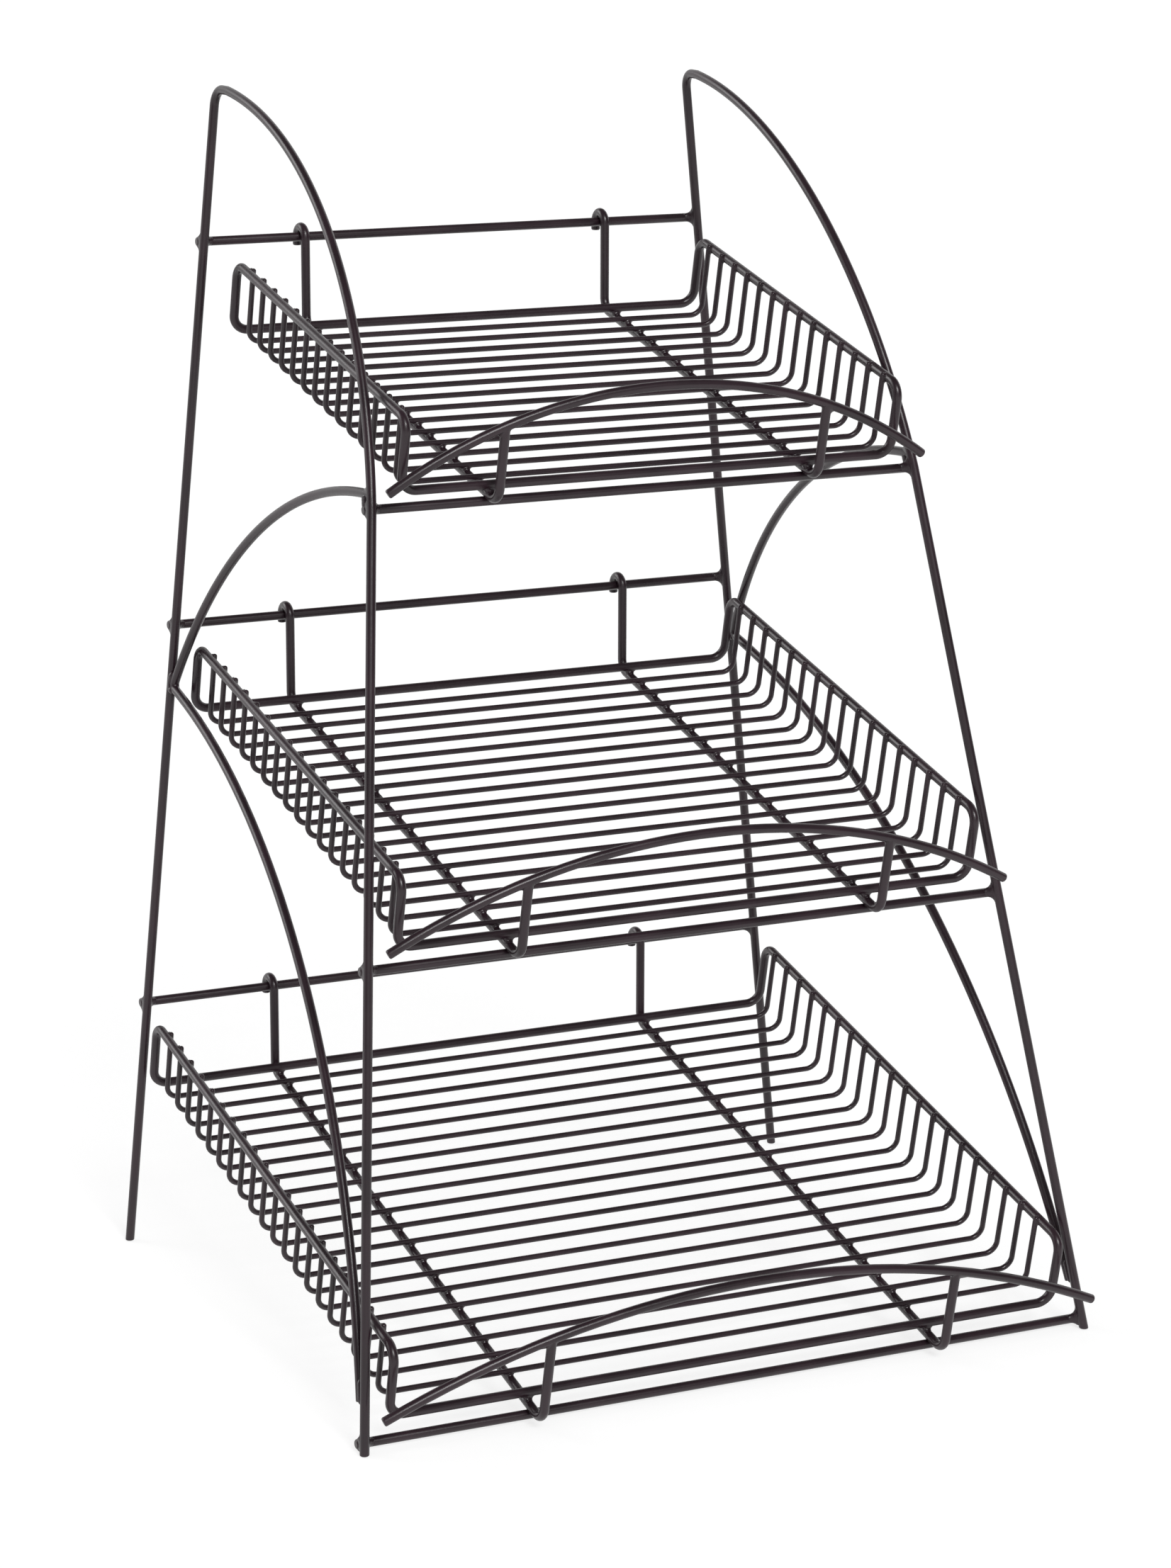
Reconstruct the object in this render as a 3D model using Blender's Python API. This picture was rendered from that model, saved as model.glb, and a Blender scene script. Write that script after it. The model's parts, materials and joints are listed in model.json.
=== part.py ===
"""Countertop display rack: a welded wire frame that carries three lift-off wire trays.

Metres, +Z up, the front of the rack toward -Y, left and right as the viewer in front sees them.
The frame's depth is counted from its front feet, and the whole rack is then centred in Y.
Each tray has its own axes: X across, Y up its sloping deck, Z square to the deck.
"""

import math
from dataclasses import dataclass

import bmesh
import bpy
from mathutils import Matrix, Quaternion, Vector

# Wire
HEAVY = 0.0050  # coated diameter: frame, runners, bows and tray loops
LIGHT = 0.0030  # coated diameter: deck wires
GAP = 0.0003  # left between two pieces that touch
WELD_SINK = 0.0013  # how far a deck wire is pressed into a rail by its weld
COPE_SHORT = 0.0019  # a rod that butts onto a heavy wire stops this far short of its centre line
REACH = HEAVY + GAP  # centre to centre of two heavy wires that touch

# Side frames
TOP_HEIGHT = 0.6480  # centre line of the top rear corner
FOOT_SPREAD = 0.2100  # a front foot's centre from the middle
REAR_STEP_IN = 0.0033  # a rear foot stands this much nearer the middle
LEG_DEPTH = 0.3530  # front foot to rear foot
LEAN_BACK = math.radians(13.3)  # front leg, seen from the side
LEAN_IN = math.radians(6.73)  # front leg, seen from the front
REAR_LEAN_LESS = math.radians(1.07)  # the rear leg leans in less by this
TOP_BOW_RISE = 0.0444  # the top bow's height over its chord
TOP_FLAT = 0.0160  # straight stretch in front of the top rear corner
TOP_BEND = 0.0090  # bend radii are those of the centre line
KNEE_ABOVE_BAR = 0.0010  # the front leg turns into the top bow just over the top crossbar

# Brace rods
BRACE_BEND = 0.0060
BRACE_BEND_HEIGHT = 0.3200
BRACE_FOOT_HEIGHT = 0.0240
LOWER_BOW_RISE = 0.0580
ARCH_RISE = 0.0365
ARCH_ABOVE_BAR = 0.0081  # the arch meets the front leg this far over the top crossbar

# Crossbars
BAR_POKE = 0.0001  # a bar's end stands out this far past the leg's outer side

# Trays, alike in all three
DECK_SLOPE = math.radians(13.0)
WALL_HEIGHT = 0.0383  # front and rear runs to the side rails, centre to centre
LOOP_BEND = 0.0085
DECK_BEND = 0.0070
DECK_POKE = 0.0001  # a deck wire ends this far over the rail's top
LEAST_REAR_SPACE = 0.0120  # the last deck wire stays this far from the rear run
FRONT_RUN_AHEAD = 0.0020  # front run in front of the crossbar below it, where basket_back is 0
REAR_RUN_AHEAD = 0.0121  # rear run in front of the runner's rear corner, where basket_back is 0
RUNNER_BEND = 0.0080
RISER_AHEAD = 0.0140  # riser and bow in front of the front run, where basket_back is 0
HOOK_BEND = 0.0060
HOOK_RISE = 0.0486  # the runner's rear corner to the crossbar that the hook hangs on
HOOK_TIP = 0.0028  # the hook's tip reaches this far below the crossbar's underside
BOW_OVERHANG = 0.0125  # the bow's end stands out this far past the side rail

# Facets
HEAVY_STEP = math.radians(24)  # the turn between two rings of points in a bend
LIGHT_STEP = math.radians(45)
BOW_STEP = math.radians(6)
HEAVY_SIDES = 2  # bevel resolution: 8 sides
LIGHT_SIDES = 1  # bevel resolution: 6 sides
MERGE = 0.00001
FLOOR_CUT = 0.0060  # how far the legs run below the floor before they are cut flat

UP = Vector((0, 0, 1))
SIDES = {"left": -1, "right": 1}


@dataclass
class Tray:
    """The sizes that differ from tray to tray."""

    name: str
    bar_height: float  # centre of the front crossbar that carries it
    side_gap: float  # side rail to the front leg beside it
    runner_inset: float  # side rail to runner, centre to centre
    first_space: float  # front run to the first deck wire
    pitch: float  # deck wire to deck wire
    bow_lift: float  # the bow's ends above the deck plane
    bow_rise: float  # the bow's top above its ends
    basket_back: float  # how far back on its runners the basket is welded


TRAYS = (
    Tray("top", 0.4559, 0.0051, 0.0490, 0.0135, 0.0159, 0.0038, 0.0485, -0.0019),
    Tray("middle", 0.2320, 0.0067, 0.0615, 0.0152, 0.01615, 0.0062, 0.0479, 0.0034),
    Tray("bottom", 0.0040, 0.0056, 0.0765, 0.0215, 0.0163, 0.0115, 0.0475, 0.0064),
)
TOP_TRAY = TRAYS[0]


# Places on the frame
def front_leg(height):
    """The centre line of the right front leg at this height."""
    return Vector((FOOT_SPREAD - height * math.tan(LEAN_IN), height * math.tan(LEAN_BACK), height))


def rear_leg(height):
    """The centre line of the right rear leg at this height."""
    lean = math.tan(LEAN_IN - REAR_LEAN_LESS)
    return Vector((FOOT_SPREAD - REAR_STEP_IN - height * lean, LEG_DEPTH, height))


def on_side(point, side):
    """A point of the side view, put on the slightly twisted surface through both legs of one side."""
    front = front_leg(point.z)
    rear = rear_leg(point.z)
    place = front.lerp(rear, (point.y - front.y) / (rear.y - front.y))
    return Vector((side * place.x, place.y, place.z))


def side_view(y, z):
    return Vector((0, y, z))


def front_bar_place(tray):
    """The front crossbar's centre: it is welded to the rear side of the front legs."""
    leg = front_leg(tray.bar_height)
    return side_view(leg.y + REACH / math.cos(LEAN_BACK), tray.bar_height)


# Places on a tray
def tray_axes(tray):
    """The tray's own axes, with their origin at the middle of its front run."""
    turn = Matrix.Rotation(DECK_SLOPE, 4, "X")
    from_bar = turn @ Vector((0, tray.basket_back - FRONT_RUN_AHEAD, 2 * REACH))
    return Matrix.Translation(front_bar_place(tray) + from_bar) @ turn


def in_tray(tray, y, z):
    """A point of the side view, counted along the tray's own axes."""
    return tray_axes(tray).inverted() @ side_view(y, z)


def hook_leg_y():
    """The hook's long leg hangs in front of the rear crossbar."""
    return LEG_DEPTH + REACH - HOOK_BEND


def runner_corner(tray):
    """Where the runner, below the deck, turns up into the hook's long leg."""
    start = tray_axes(tray) @ Vector((0, 0, -REACH))
    return side_view(hook_leg_y(), start.z + (hook_leg_y() - start.y) * math.tan(DECK_SLOPE))


def rear_bar_place(tray):
    """The rear crossbar's centre: it is welded to the rear side of the rear legs."""
    return side_view(LEG_DEPTH + REACH, runner_corner(tray).z + HOOK_RISE)


def deck_length(tray):
    """Front run to rear run, centre to centre."""
    corner = runner_corner(tray)
    return in_tray(tray, corner.y, corner.z).y - REAR_RUN_AHEAD + tray.basket_back


def riser_y(tray):
    """The risers and the bow stand in front of the front run, at a place of their own on the runners."""
    return -RISER_AHEAD - tray.basket_back


def half_width(tray):
    """The middle to the centre of a side rail, which passes inside the front leg."""
    rail = tray_axes(tray) @ Vector((0, 0, WALL_HEIGHT))
    return front_leg(rail.z).x - HEAVY - tray.side_gap


def runner_x(tray):
    return half_width(tray) - tray.runner_inset


def bow_half(tray):
    return half_width(tray) + BOW_OVERHANG


def bow_height(tray, x):
    """The bow's centre line above the deck plane, at a distance from the middle."""
    radius = (bow_half(tray) ** 2 + tray.bow_rise**2) / (2 * tray.bow_rise)
    return tray.bow_lift + tray.bow_rise - radius + math.sqrt(radius**2 - x**2)


def middle_of_depth():
    """Half way from the bottom bow's foremost point to the back of the hooks."""
    bottom = TRAYS[-1]
    bow_top = tray_axes(bottom) @ Vector((0, riser_y(bottom), bow_height(bottom, 0)))
    return (bow_top.y + LEG_DEPTH + REACH + HOOK_BEND) / 2


# Paths
def turned(centre, start, end, step):
    """Points from start to end on the circle about centre."""
    arm = start - centre
    turn = arm.rotation_difference(end - centre)
    count = max(2, round(turn.angle / step))
    return [centre + Quaternion(turn.axis, turn.angle * i / count) @ arm for i in range(count + 1)]


def arc(start, end, rise):
    """The circular arc from start to end that stands up over its chord by rise."""
    chord = end - start
    upward = (UP - UP.project(chord)).normalized()
    radius = (chord.length_squared / 4 + rise**2) / (2 * rise)
    return turned(start + chord / 2 + upward * (rise - radius), start, end, BOW_STEP)


def rounded(corners, step, closed=False):
    """The path through corners given as point and bend radius. A radius of 0 leaves the point."""
    path = []
    for i, (corner, radius) in enumerate(corners):
        if radius == 0:
            path.append(corner)
            continue
        back = (corners[i - 1][0] - corner).normalized()
        ahead = (corners[(i + 1) % len(corners)][0] - corner).normalized()
        half_turn = (math.pi - back.angle(ahead)) / 2
        reach = radius * math.tan(half_turn)
        centre = corner + (back + ahead).normalized() * radius / math.cos(half_turn)
        path += turned(centre, corner + back * reach, corner + ahead * reach, step)
    return [here for i, here in enumerate(path) if (here - path[i - 1]).length > MERGE]


def stopped_short(path):
    """The same path with its last point drawn back, for a rod that butts onto a heavy wire there."""
    back = (path[-2] - path[-1]).normalized()
    return path[:-1] + [path[-1] + back * COPE_SHORT]


def at_height(path, height):
    """The point of a rising path at this height."""
    above = next(i for i, point in enumerate(path) if point.z > height)
    low = path[above - 1]
    high = path[above]
    return low.lerp(high, (height - low.z) / (high.z - low.z))


def top_corner():
    return side_view(LEG_DEPTH, TOP_HEIGHT)


def top_bow():
    """The side view of the top bow, from the front leg's knee to the flat behind it."""
    knee = front_leg(TOP_TRAY.bar_height + KNEE_ABOVE_BAR)
    return arc(side_view(knee.y, knee.z), top_corner() - side_view(TOP_FLAT, 0), TOP_BOW_RISE)


def side_rod_path(side):
    """Front foot, straight leg, top bow, top rear corner and rear leg: one rod."""
    foot = front_leg(-FLOOR_CUT)
    corners = [(side_view(foot.y, foot.z), 0)]
    corners += [(point, 0) for point in top_bow()]
    corners += [(top_corner(), TOP_BEND), (side_view(LEG_DEPTH, -FLOOR_CUT), 0)]
    return [on_side(point, side) for point in rounded(corners, HEAVY_STEP)]


def brace_side_view(corner_y):
    """Lower bow, sharp bend at the rear leg and arch, for a bend whose corner is at this depth."""
    foot = front_leg(BRACE_FOOT_HEIGHT)
    start = side_view(foot.y + REACH / math.cos(LEAN_BACK), foot.z)
    corner = side_view(corner_y, BRACE_BEND_HEIGHT)
    end = at_height(top_bow(), TOP_TRAY.bar_height + ARCH_ABOVE_BAR)
    lower = arc(start, corner, LOWER_BOW_RISE)
    upper = stopped_short(arc(corner, end, ARCH_RISE))
    corners = [(point, 0) for point in lower[:-1]]
    corners += [(corner, BRACE_BEND)]
    corners += [(point, 0) for point in upper[1:]]
    return rounded(corners, HEAVY_STEP)


def brace_rod_path(side):
    """A bend cuts its corner, so the corner goes back by as much and the bend meets the rear leg."""
    touch = LEG_DEPTH - REACH
    short = touch - max(point.y for point in brace_side_view(touch))
    return [on_side(point, side) for point in brace_side_view(touch + short)]


def loop_path(tray):
    """The tray's closed loop: down at each corner to the front and rear runs, up to the side rails."""
    x = half_width(tray)
    rear = deck_length(tray)
    ends = ((-x, 0), (x, 0), (x, rear), (-x, rear))
    corners = []
    for i, (across, along) in enumerate(ends):
        heights = (WALL_HEIGHT, 0) if i % 2 == 0 else (0, WALL_HEIGHT)
        corners += [(Vector((across, along, height)), LOOP_BEND) for height in heights]
    return rounded(corners, HEAVY_STEP, closed=True)


def deck_wire_places(tray):
    """How far up the slope each deck wire lies. A longer deck gets more wires at the same pitch."""
    room = deck_length(tray) - tray.first_space - LEAST_REAR_SPACE
    return [tray.first_space + i * tray.pitch for i in range(int(room / tray.pitch) + 1)]


def deck_wire_path(tray, along):
    """Across the deck and up the inner side of both rails. It rests on the runners, as the runs do."""
    x = half_width(tray) - (HEAVY + LIGHT) / 2 + WELD_SINK
    low = (LIGHT - HEAVY) / 2
    high = WALL_HEIGHT + HEAVY / 2 + DECK_POKE
    corners = [
        (Vector((-x, along, high)), 0),
        (Vector((-x, along, low)), DECK_BEND),
        (Vector((x, along, low)), DECK_BEND),
        (Vector((x, along, high)), 0),
    ]
    return rounded(corners, LIGHT_STEP)


def runner_path(tray, side):
    """Hook over the rear crossbar, long leg, run below the deck, and riser up to the bow."""
    bar = rear_bar_place(tray)
    hook_top = bar.z + HEAVY / 2 + GAP + HEAVY / 2
    tip = bar.z - HEAVY / 2 - HOOK_TIP
    corner = runner_corner(tray)
    x = side * runner_x(tray)
    corners = [
        (in_tray(tray, bar.y + HOOK_BEND, tip), 0),
        (in_tray(tray, bar.y + HOOK_BEND, hook_top), HOOK_BEND),
        (in_tray(tray, bar.y - HOOK_BEND, hook_top), HOOK_BEND),
        (in_tray(tray, corner.y, corner.z), RUNNER_BEND),
        (Vector((0, riser_y(tray), -REACH)), RUNNER_BEND),
        (Vector((0, riser_y(tray), bow_height(tray, x))), 0),
    ]
    return [point + Vector((x, 0, 0)) for point in stopped_short(rounded(corners, HEAVY_STEP))]


def bow_path(tray):
    """The bow in front of the tray, in the plane of the risers."""
    end = Vector((bow_half(tray), riser_y(tray), tray.bow_lift))
    return arc(Vector((-end.x, end.y, end.z)), end, tray.bow_rise)


# Objects
def clear_scene():
    for thing in list(bpy.data.objects):
        bpy.data.objects.remove(thing, do_unlink=True)


def new_collection(name):
    group = bpy.data.collections.new(name)
    bpy.context.scene.collection.children.link(group)
    return group


def new_empty(name, group, place, parent=None):
    axes = bpy.data.objects.new(name, None)
    axes.empty_display_size = 0.03
    group.objects.link(axes)
    axes.parent = parent
    axes.matrix_local = place
    return axes


def black_coat(name):
    """Satin powder coat over steel: a near-black plastic skin with a soft highlight."""
    coat = bpy.data.materials.new(name + "_coat")
    coat.use_nodes = True
    shader = coat.node_tree.nodes["Principled BSDF"]
    shader.inputs["Base Color"].default_value = (0.022, 0.018, 0.021, 1)
    shader.inputs["Roughness"].default_value = 0.38
    shader.inputs["Metallic"].default_value = 0.0
    coat.diffuse_color = (0.03, 0.025, 0.03, 1)
    return coat


def bent_wire(name, paths, diameter, sides, group, parent, closed=False):
    """A round wire along each path, as one curve object."""
    curve = bpy.data.curves.new(name, "CURVE")
    curve.dimensions = "3D"
    curve.bevel_depth = diameter / 2
    curve.bevel_resolution = sides
    curve.use_fill_caps = True
    for path in paths:
        spline = curve.splines.new("POLY")
        spline.points.add(len(path) - 1)
        spline.use_cyclic_u = closed
        for point, place in zip(spline.points, path):
            point.co = (place.x, place.y, place.z, 1)
    rod = bpy.data.objects.new(name, curve)
    group.objects.link(rod)
    rod.parent = parent
    return rod


def heavy_wire(name, path, group, parent, closed=False):
    rod = bent_wire(name, [path], HEAVY, HEAVY_SIDES, group, parent, closed)
    rod.data.materials.append(black_coat(name))
    return rod


def as_mesh(rod):
    """The curve object made a mesh object in the same place, with its end caps welded on."""
    bpy.context.view_layer.update()
    graph = bpy.context.evaluated_depsgraph_get()
    mesh = bpy.data.meshes.new_from_object(rod.evaluated_get(graph))
    shape = bmesh.new()
    shape.from_mesh(mesh)
    bmesh.ops.remove_doubles(shape, verts=shape.verts, dist=MERGE)
    shape.to_mesh(mesh)
    shape.free()
    mesh.shade_smooth()
    mesh.set_sharp_from_angle(angle=math.radians(65))
    name = rod.name
    place = rod.matrix_world.copy()
    parent = rod.parent
    group = rod.users_collection[0]
    bpy.data.objects.remove(rod, do_unlink=True)
    solid = bpy.data.objects.new(name, mesh)
    group.objects.link(solid)
    solid.parent = parent
    solid.matrix_world = place
    return solid


def as_helper(thing):
    thing.hide_render = True
    thing.display_type = "WIRE"
    return thing


def boolean(solid, other, operation):
    modifier = solid.modifiers.new(other.name, "BOOLEAN")
    modifier.operation = operation
    modifier.solver = "EXACT"
    modifier.object = other


def cope(solid, path, name, helpers, parent):
    """Cut the solid to sit against a heavy wire along path, with the gap of two pieces that touch."""
    cutter = bent_wire(name, [path], HEAVY + 2 * GAP, HEAVY_SIDES, helpers, parent)
    boolean(solid, as_helper(as_mesh(cutter)), "DIFFERENCE")


def floor_block(helpers, parent):
    """What lies below the floor, to cut the feet flat."""
    bpy.ops.mesh.primitive_cube_add(size=1)
    block = bpy.context.object
    block.name = "below_floor"
    for group in block.users_collection:
        group.objects.unlink(block)
    helpers.objects.link(block)
    block.parent = parent
    block.scale = (4 * FOOT_SPREAD, 3 * LEG_DEPTH, 4 * FLOOR_CUT)
    block.location = (0, LEG_DEPTH / 2, -2 * FLOOR_CUT)
    return as_helper(block)


def build_side_frames(parts, helpers, rack):
    floor = floor_block(helpers, rack)
    for name, side in SIDES.items():
        path = side_rod_path(side)
        rod = as_mesh(heavy_wire("side_rod_" + name, path, parts, rack))
        boolean(rod, floor, "DIFFERENCE")
        brace = as_mesh(heavy_wire("brace_rod_" + name, brace_rod_path(side), parts, rack))
        cope(brace, path, "side_rod_room_" + name, helpers, rack)


def build_crossbars(parts, rack):
    """Each bar runs past the legs that it is welded behind."""
    for tray in TRAYS:
        for end, place, leg in (
            ("front", front_bar_place(tray), front_leg),
            ("rear", rear_bar_place(tray), rear_leg),
        ):
            half = Vector((leg(place.z).x + HEAVY / 2 + BAR_POKE, 0, 0))
            heavy_wire(f"{end}_crossbar_{tray.name}", [place - half, place + half], parts, rack)


def build_tray(tray, parts, helpers, rack):
    """The basket with its welded deck wires, two runners and the bow, on the tray's own axes."""
    name = "tray_" + tray.name
    axes = new_empty(name, parts, tray_axes(tray), rack)
    basket = as_mesh(heavy_wire(name + "_basket", loop_path(tray), parts, axes, closed=True))
    deck = [deck_wire_path(tray, along) for along in deck_wire_places(tray)]
    wires = bent_wire(name + "_deck_wires", deck, LIGHT, LIGHT_SIDES, helpers, axes)
    boolean(basket, as_helper(as_mesh(wires)), "UNION")
    bow = bow_path(tray)
    heavy_wire(name + "_bow", bow, parts, axes)
    for hand, side in SIDES.items():
        path = runner_path(tray, side)
        runner = as_mesh(heavy_wire(f"{name}_runner_{hand}", path, parts, axes))
        cope(runner, bow, f"{name}_bow_room_{hand}", helpers, axes)


def build():
    clear_scene()
    parts = new_collection("countertop_display_rack")
    helpers = new_collection("cutters_and_helpers")
    rack = new_empty("rack", parts, Matrix.Translation((0, -middle_of_depth(), 0)))
    build_side_frames(parts, helpers, rack)
    build_crossbars(parts, rack)
    for tray in TRAYS:
        build_tray(tray, parts, helpers, rack)
    bpy.context.view_layer.update()


build()
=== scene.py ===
# %% [markdown]
# # Countertop display rack: finishing a packed wire model
#
# The rack is a welded frame of heavy wire that carries three wire trays. All of it is black powder
# coat over steel, so its looks rest on few things: how round and even the wire is, how the cut ends
# are softened by the coat, the fillets of weld metal where two wires meet, and one satin finish.
#
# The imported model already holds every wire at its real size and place, with flat facets. Here each
# faceted wire is replaced by a round one along the same centre line. The frame comes first, because
# every piece is placed by it and rides on one of its bodies.

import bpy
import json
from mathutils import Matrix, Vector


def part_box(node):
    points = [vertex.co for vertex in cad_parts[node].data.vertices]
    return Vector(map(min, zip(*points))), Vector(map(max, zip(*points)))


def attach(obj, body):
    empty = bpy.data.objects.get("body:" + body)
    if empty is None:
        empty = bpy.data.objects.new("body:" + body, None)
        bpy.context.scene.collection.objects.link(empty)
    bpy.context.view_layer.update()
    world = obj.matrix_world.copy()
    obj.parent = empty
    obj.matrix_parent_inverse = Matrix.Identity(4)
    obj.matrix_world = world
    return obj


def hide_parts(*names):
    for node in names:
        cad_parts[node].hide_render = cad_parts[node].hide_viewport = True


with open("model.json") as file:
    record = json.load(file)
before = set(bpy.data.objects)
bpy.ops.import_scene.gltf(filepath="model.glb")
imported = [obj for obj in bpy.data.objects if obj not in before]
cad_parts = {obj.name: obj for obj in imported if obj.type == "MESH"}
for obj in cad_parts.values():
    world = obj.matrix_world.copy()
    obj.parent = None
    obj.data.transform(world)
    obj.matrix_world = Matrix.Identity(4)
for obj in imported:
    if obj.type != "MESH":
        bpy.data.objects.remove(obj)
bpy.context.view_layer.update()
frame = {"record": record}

# %% [markdown]
# ## Blender's modules
# `bmesh` makes the weld fillets, `mathutils` has the vectors and turns, and the rest is Python's
# own.

# %% Modules
import json
import math
import random
from dataclasses import dataclass

import bmesh
import bpy
from mathutils import Matrix, Quaternion, Vector
from mathutils.geometry import intersect_line_line

scene = bpy.context.scene
scene.view_settings.view_transform = "Standard"

# %% [markdown]
# ## The camera
# A product photographer stands well back with a long lens, so that the rack's verticals stay nearly
# parallel. A 100 mm lens on a 36 mm high frame does that here. The camera stands to the left of the
# rack and looks down on it by 13.5 degrees. Its place is in metres from the rack's middle.

# %% Camera
LENS_MM = 100
FILM_HEIGHT_MM = 36
CAMERA_PLACE = Vector((-0.9907, -2.0506, 0.8352))
CAMERA_AZIMUTH = math.radians(-25.621)
CAMERA_DOWN = math.radians(13.555)
CAMERA_ROLL = math.radians(0.136)


def make_camera():
    lens = bpy.data.cameras.new("product_camera")
    lens.lens = LENS_MM
    lens.sensor_fit = "VERTICAL"
    lens.sensor_height = FILM_HEIGHT_MM
    camera = bpy.data.objects.new("product_camera", lens)
    scene.collection.objects.link(camera)
    turn = Matrix.Rotation(CAMERA_AZIMUTH, 4, "Z")
    turn = turn @ Matrix.Rotation(math.radians(90) - CAMERA_DOWN, 4, "X")
    turn = turn @ Matrix.Rotation(CAMERA_ROLL, 4, "Z")
    camera.matrix_world = Matrix.Translation(CAMERA_PLACE) @ turn
    scene.camera = camera


make_camera()
print("Camera", round(CAMERA_PLACE.length, 2), "m from the rack")

# %% [markdown]
# ## Building node trees
# Materials and Geometry Nodes trees are both made of nodes. One small function adds a node:
# settings go on the node, and each socket gets a value, another node's output, or a node, whose
# first output it takes. Colours are written as sRGB hex, as a paint card gives them, and a shader
# needs them linear.

# %% Helpers for nodes
def add(tree, kind, sockets=None, **settings):
    """A new node. A socket is named or counted, and gets a value, an output or a whole node."""
    node = tree.nodes.new(kind)
    for name, value in settings.items():
        setattr(node, name, value)
    for key, value in (sockets or {}).items():
        if isinstance(value, bpy.types.Node):
            value = value.outputs[0]
        if isinstance(value, bpy.types.NodeSocket):
            tree.links.new(value, node.inputs[key])
        else:
            node.inputs[key].default_value = value
    return node


def cleared_tree(owner):
    """The node tree of a material or world, without the nodes it starts with."""
    owner.use_nodes = True
    owner.node_tree.nodes.clear()
    return owner.node_tree


def linear(hex_colour):
    """An sRGB hex colour as linear red, green, blue and alpha."""
    parts = [int(hex_colour[i : i + 2], 16) / 255 for i in (1, 3, 5)]
    return [p / 12.92 if p <= 0.04045 else ((p + 0.055) / 1.055) ** 2.4 for p in parts] + [1]


WHITE = linear("#FFFFFF")


# %% [markdown]
# ## White surroundings
# The rack stands on a white sweep, a paper that curves up behind it. The world shows the camera a
# clean white. Gloss sees the sweep where it stands, behind the rack and not too high, and elsewhere
# the dim studio in front of it: a rod as dark as this is drawn by that difference. The light it
# gives to matt surfaces is plain and even. The floor is a pale matt sheet with most of its white
# added, so its shadow is faint.

# %% World and floor
WORLD_LIGHT = 0.46
STUDIO_GLOW = 0.14  # the room around the sweep
SWEEP_TOP = math.radians(40)  # how high the sweep stands, as the rack sees it
FLOOR_HALF = 12.0
FLOOR_SHADOW = 0.30  # the part of the floor's white that a shadow can take away
FLOOR_GLOW = 1.08  # makes up for the lamps' light on the rest, so that the lit floor is just white
FLOOR_DROP = 0.0004  # the sheet lies a hair under the feet


def seen_directly(tree):
    """1 for rays that show the background itself: from the camera, in gloss and through glass."""
    ray = add(tree, "ShaderNodeLightPath").outputs
    seen = ray["Is Camera Ray"]
    for kind in ("Is Glossy Ray", "Is Transmission Ray"):
        seen = add(tree, "ShaderNodeMath", {0: seen, 1: ray[kind]}, operation="MAXIMUM")
    return seen


def make_world():
    world = bpy.data.worlds.new("white_studio")
    tree = cleared_tree(world)
    ray = add(tree, "ShaderNodeTexCoord").outputs["Generated"]
    _, back, up = add(tree, "ShaderNodeSeparateXYZ", {0: ray}).outputs
    behind = add(tree, "ShaderNodeMath", {0: back, 1: 0.0}, operation="GREATER_THAN")
    low = add(tree, "ShaderNodeMath", {0: up, 1: math.sin(SWEEP_TOP)}, operation="LESS_THAN")
    level = add(tree, "ShaderNodeMath", {0: behind, 1: low}, operation="MULTIPLY")
    for least in (add(tree, "ShaderNodeLightPath").outputs["Is Camera Ray"], STUDIO_GLOW):
        level = add(tree, "ShaderNodeMath", {0: level, 1: least}, operation="MAXIMUM")
    light = add(tree, "ShaderNodeBackground", {"Color": WHITE, "Strength": WORLD_LIGHT})
    seen = add(tree, "ShaderNodeBackground", {"Color": WHITE, "Strength": level})
    mix = add(tree, "ShaderNodeMixShader", {0: seen_directly(tree), 1: light, 2: seen})
    add(tree, "ShaderNodeOutputWorld", {"Surface": mix})
    scene.world = world


def smooth_into(mesh, shape):
    """Write the finished shape into the mesh, shaded smooth."""
    for face in shape.faces:
        face.smooth = True
    shape.to_mesh(mesh)
    shape.free()
    return mesh


def make_floor():
    sheet = bpy.data.materials.new("matt_white_paper")
    tree = cleared_tree(sheet)
    matt = add(tree, "ShaderNodeBsdfDiffuse", {"Color": WHITE})
    glow = add(tree, "ShaderNodeEmission", {"Color": WHITE, "Strength": FLOOR_GLOW})
    glowing = {0: seen_directly(tree), 1: 1 - FLOOR_SHADOW}
    share = add(tree, "ShaderNodeMath", glowing, operation="MULTIPLY")
    mix = add(tree, "ShaderNodeMixShader", {0: share, 1: matt, 2: glow})
    add(tree, "ShaderNodeOutputMaterial", {"Surface": mix})
    shape = bmesh.new()
    bmesh.ops.create_grid(shape, x_segments=1, y_segments=1, size=FLOOR_HALF)
    bmesh.ops.translate(shape, verts=shape.verts, vec=(0, 0, -FLOOR_DROP))
    mesh = smooth_into(bpy.data.meshes.new("studio_floor"), shape)
    mesh.materials.append(sheet)
    floor = bpy.data.objects.new("studio_floor", mesh)
    scene.collection.objects.link(floor)


make_world()
make_floor()
print("White world and floor are in place")

# %% [markdown]
# ## Lamps
# A black satin rod shows little but its highlights, so the lamps are what models it. A sun lamp
# stands in for a large softbox: its angle is how wide the softbox looks from the rack. The key
# hangs above the front and draws the soft line on each wire. A very wide one fills the front, and
# one behind the left side draws the bright line on the wires' left edges and on the tray rails.

# %% Lamps
@dataclass
class Softbox:
    name: str
    azimuth: float  # degrees: 0 is in front of the rack, negative to the left
    height: float  # degrees above the horizon
    width: float  # degrees across, as the rack sees it
    strength: float


SOFTBOXES = (
    Softbox("key_softbox", -4, 37, 18, 1.60),
    Softbox("front_fill", -15, 20, 75, 0.55),
    Softbox("left_edge_light", -134, 27, 32, 0.80),
)


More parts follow.
